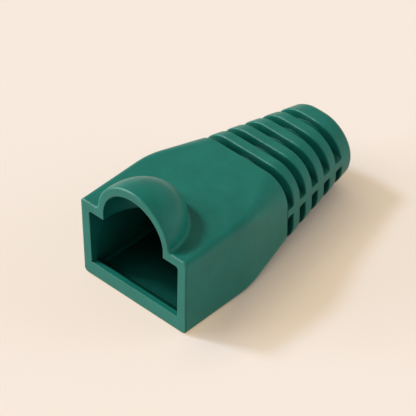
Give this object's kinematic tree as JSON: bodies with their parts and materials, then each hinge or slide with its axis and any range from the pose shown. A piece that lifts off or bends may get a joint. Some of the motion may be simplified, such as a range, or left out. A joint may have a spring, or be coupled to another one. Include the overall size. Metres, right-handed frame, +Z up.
{
  "type": "rj45 strain relief boot",
  "caption": "Soft green strain relief boot for a network patch lead, with an arched latch hood and a slotted tail.",
  "frame": {"origin": "middle of the part's length and width, on the flat underside that it rests on", "axes": "+Y along the cable from the plug mouth to the tail, +Z up through the latch hood, +X across the width"},
  "size_m": [0.0146, 0.0276, 0.0145],
  "materials": {
    "green_pvc": "matte, moulded"
  },
  "bodies": {
    "root": {"boot": "green_pvc"}
  },
  "joints": []
}
